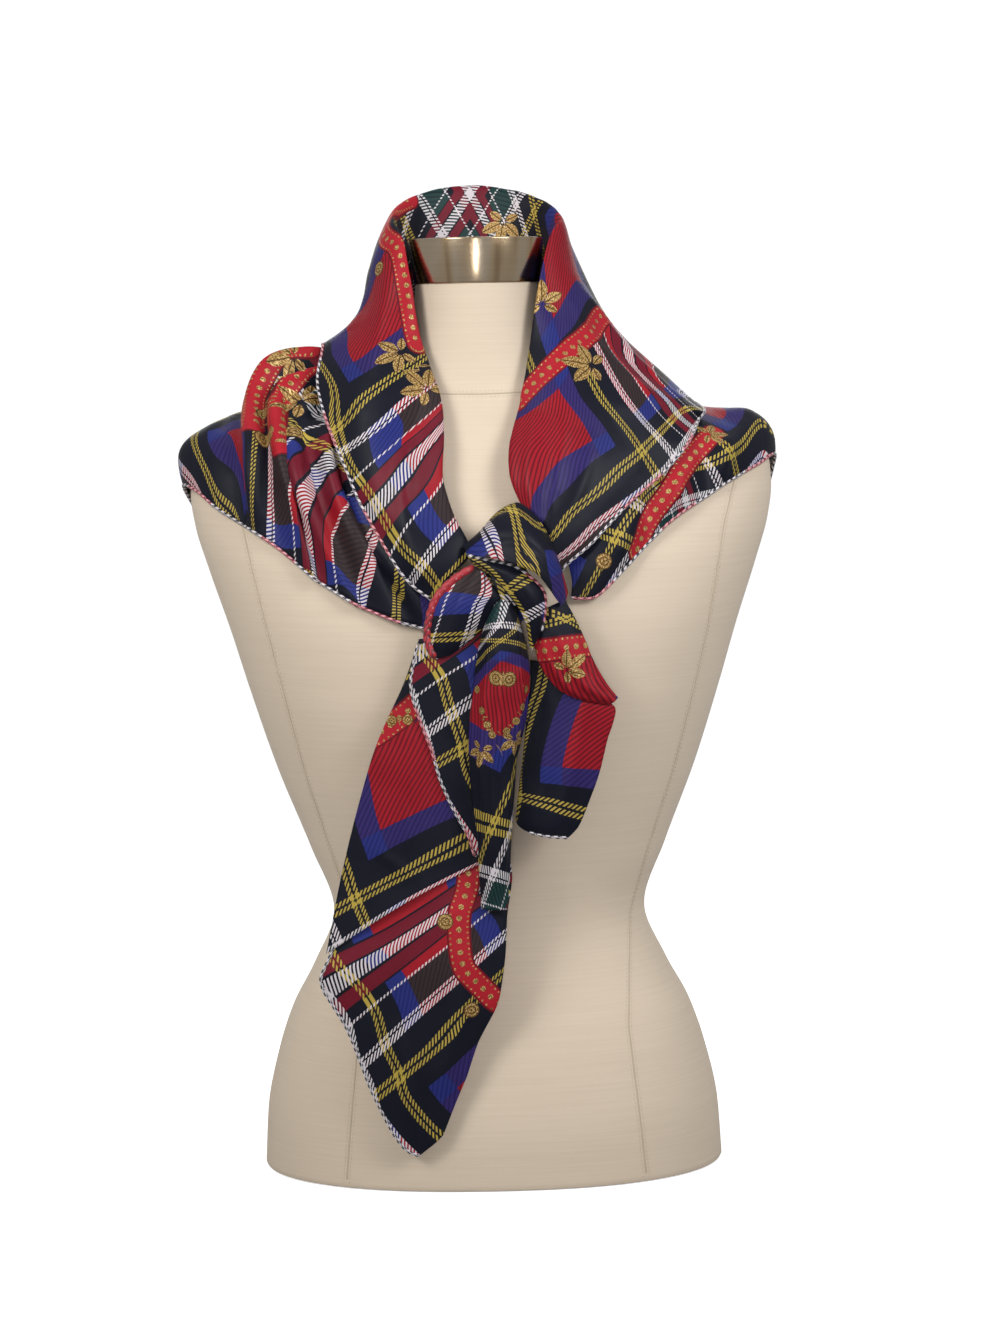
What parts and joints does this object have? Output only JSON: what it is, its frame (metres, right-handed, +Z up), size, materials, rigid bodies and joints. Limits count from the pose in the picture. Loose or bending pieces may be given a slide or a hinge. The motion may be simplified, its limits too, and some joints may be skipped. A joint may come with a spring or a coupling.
{
  "type": "silk square scarf on a dress form",
  "caption": "Large silk square folded cornerwise, worn as a rolled collar with pleated shoulders and knotted tails in front, on a limbless linen dress form with a metal neck cap.",
  "frame": {"origin": "centre of the form's flat underside", "axes": "+Z up, the front of the form and the knot face -Y, +X is the viewer's right"},
  "size_m": [0.4599, 0.2867, 0.7586],
  "materials": {
    "form_torso": "natural linen cover",
    "form_neck": "natural linen cover",
    "neck_cap": "brushed metal",
    "knot_core": "silk twill",
    "cape_back": "silk twill, tartan",
    "cape_left": "silk twill, tartan",
    "cape_right": "silk twill, tartan",
    "collar_roll": "silk twill, tartan",
    "tail_left_lower": "silk twill, tartan",
    "tail_left_upper": "silk twill, tartan",
    "tail_right_lower": "silk twill, tartan",
    "tail_left_plaid": "silk twill, tartan",
    "tail_right_upper": "silk twill, tartan",
    "knot_loop": "silk twill, tartan",
    "tail_gather": "silk twill, tartan",
    "knot_band": "silk twill, tartan",
    "knot_wrap": "silk twill, tartan"
  },
  "bodies": {
    "root": {"form_torso": "form_torso", "form_neck": "form_neck", "neck_cap": "neck_cap", "knot_core": "knot_core", "cape_back": "cape_back", "cape_left": "cape_left", "cape_right": "cape_right", "collar_roll": "collar_roll", "tail_left_lower": "tail_left_lower", "tail_left_upper": "tail_left_upper", "tail_right_lower": "tail_right_lower", "tail_left_plaid": "tail_left_plaid", "tail_right_upper": "tail_right_upper", "knot_loop": "knot_loop", "tail_gather": "tail_gather", "knot_band": "knot_band", "knot_wrap": "knot_wrap"}
  },
  "joints": []
}
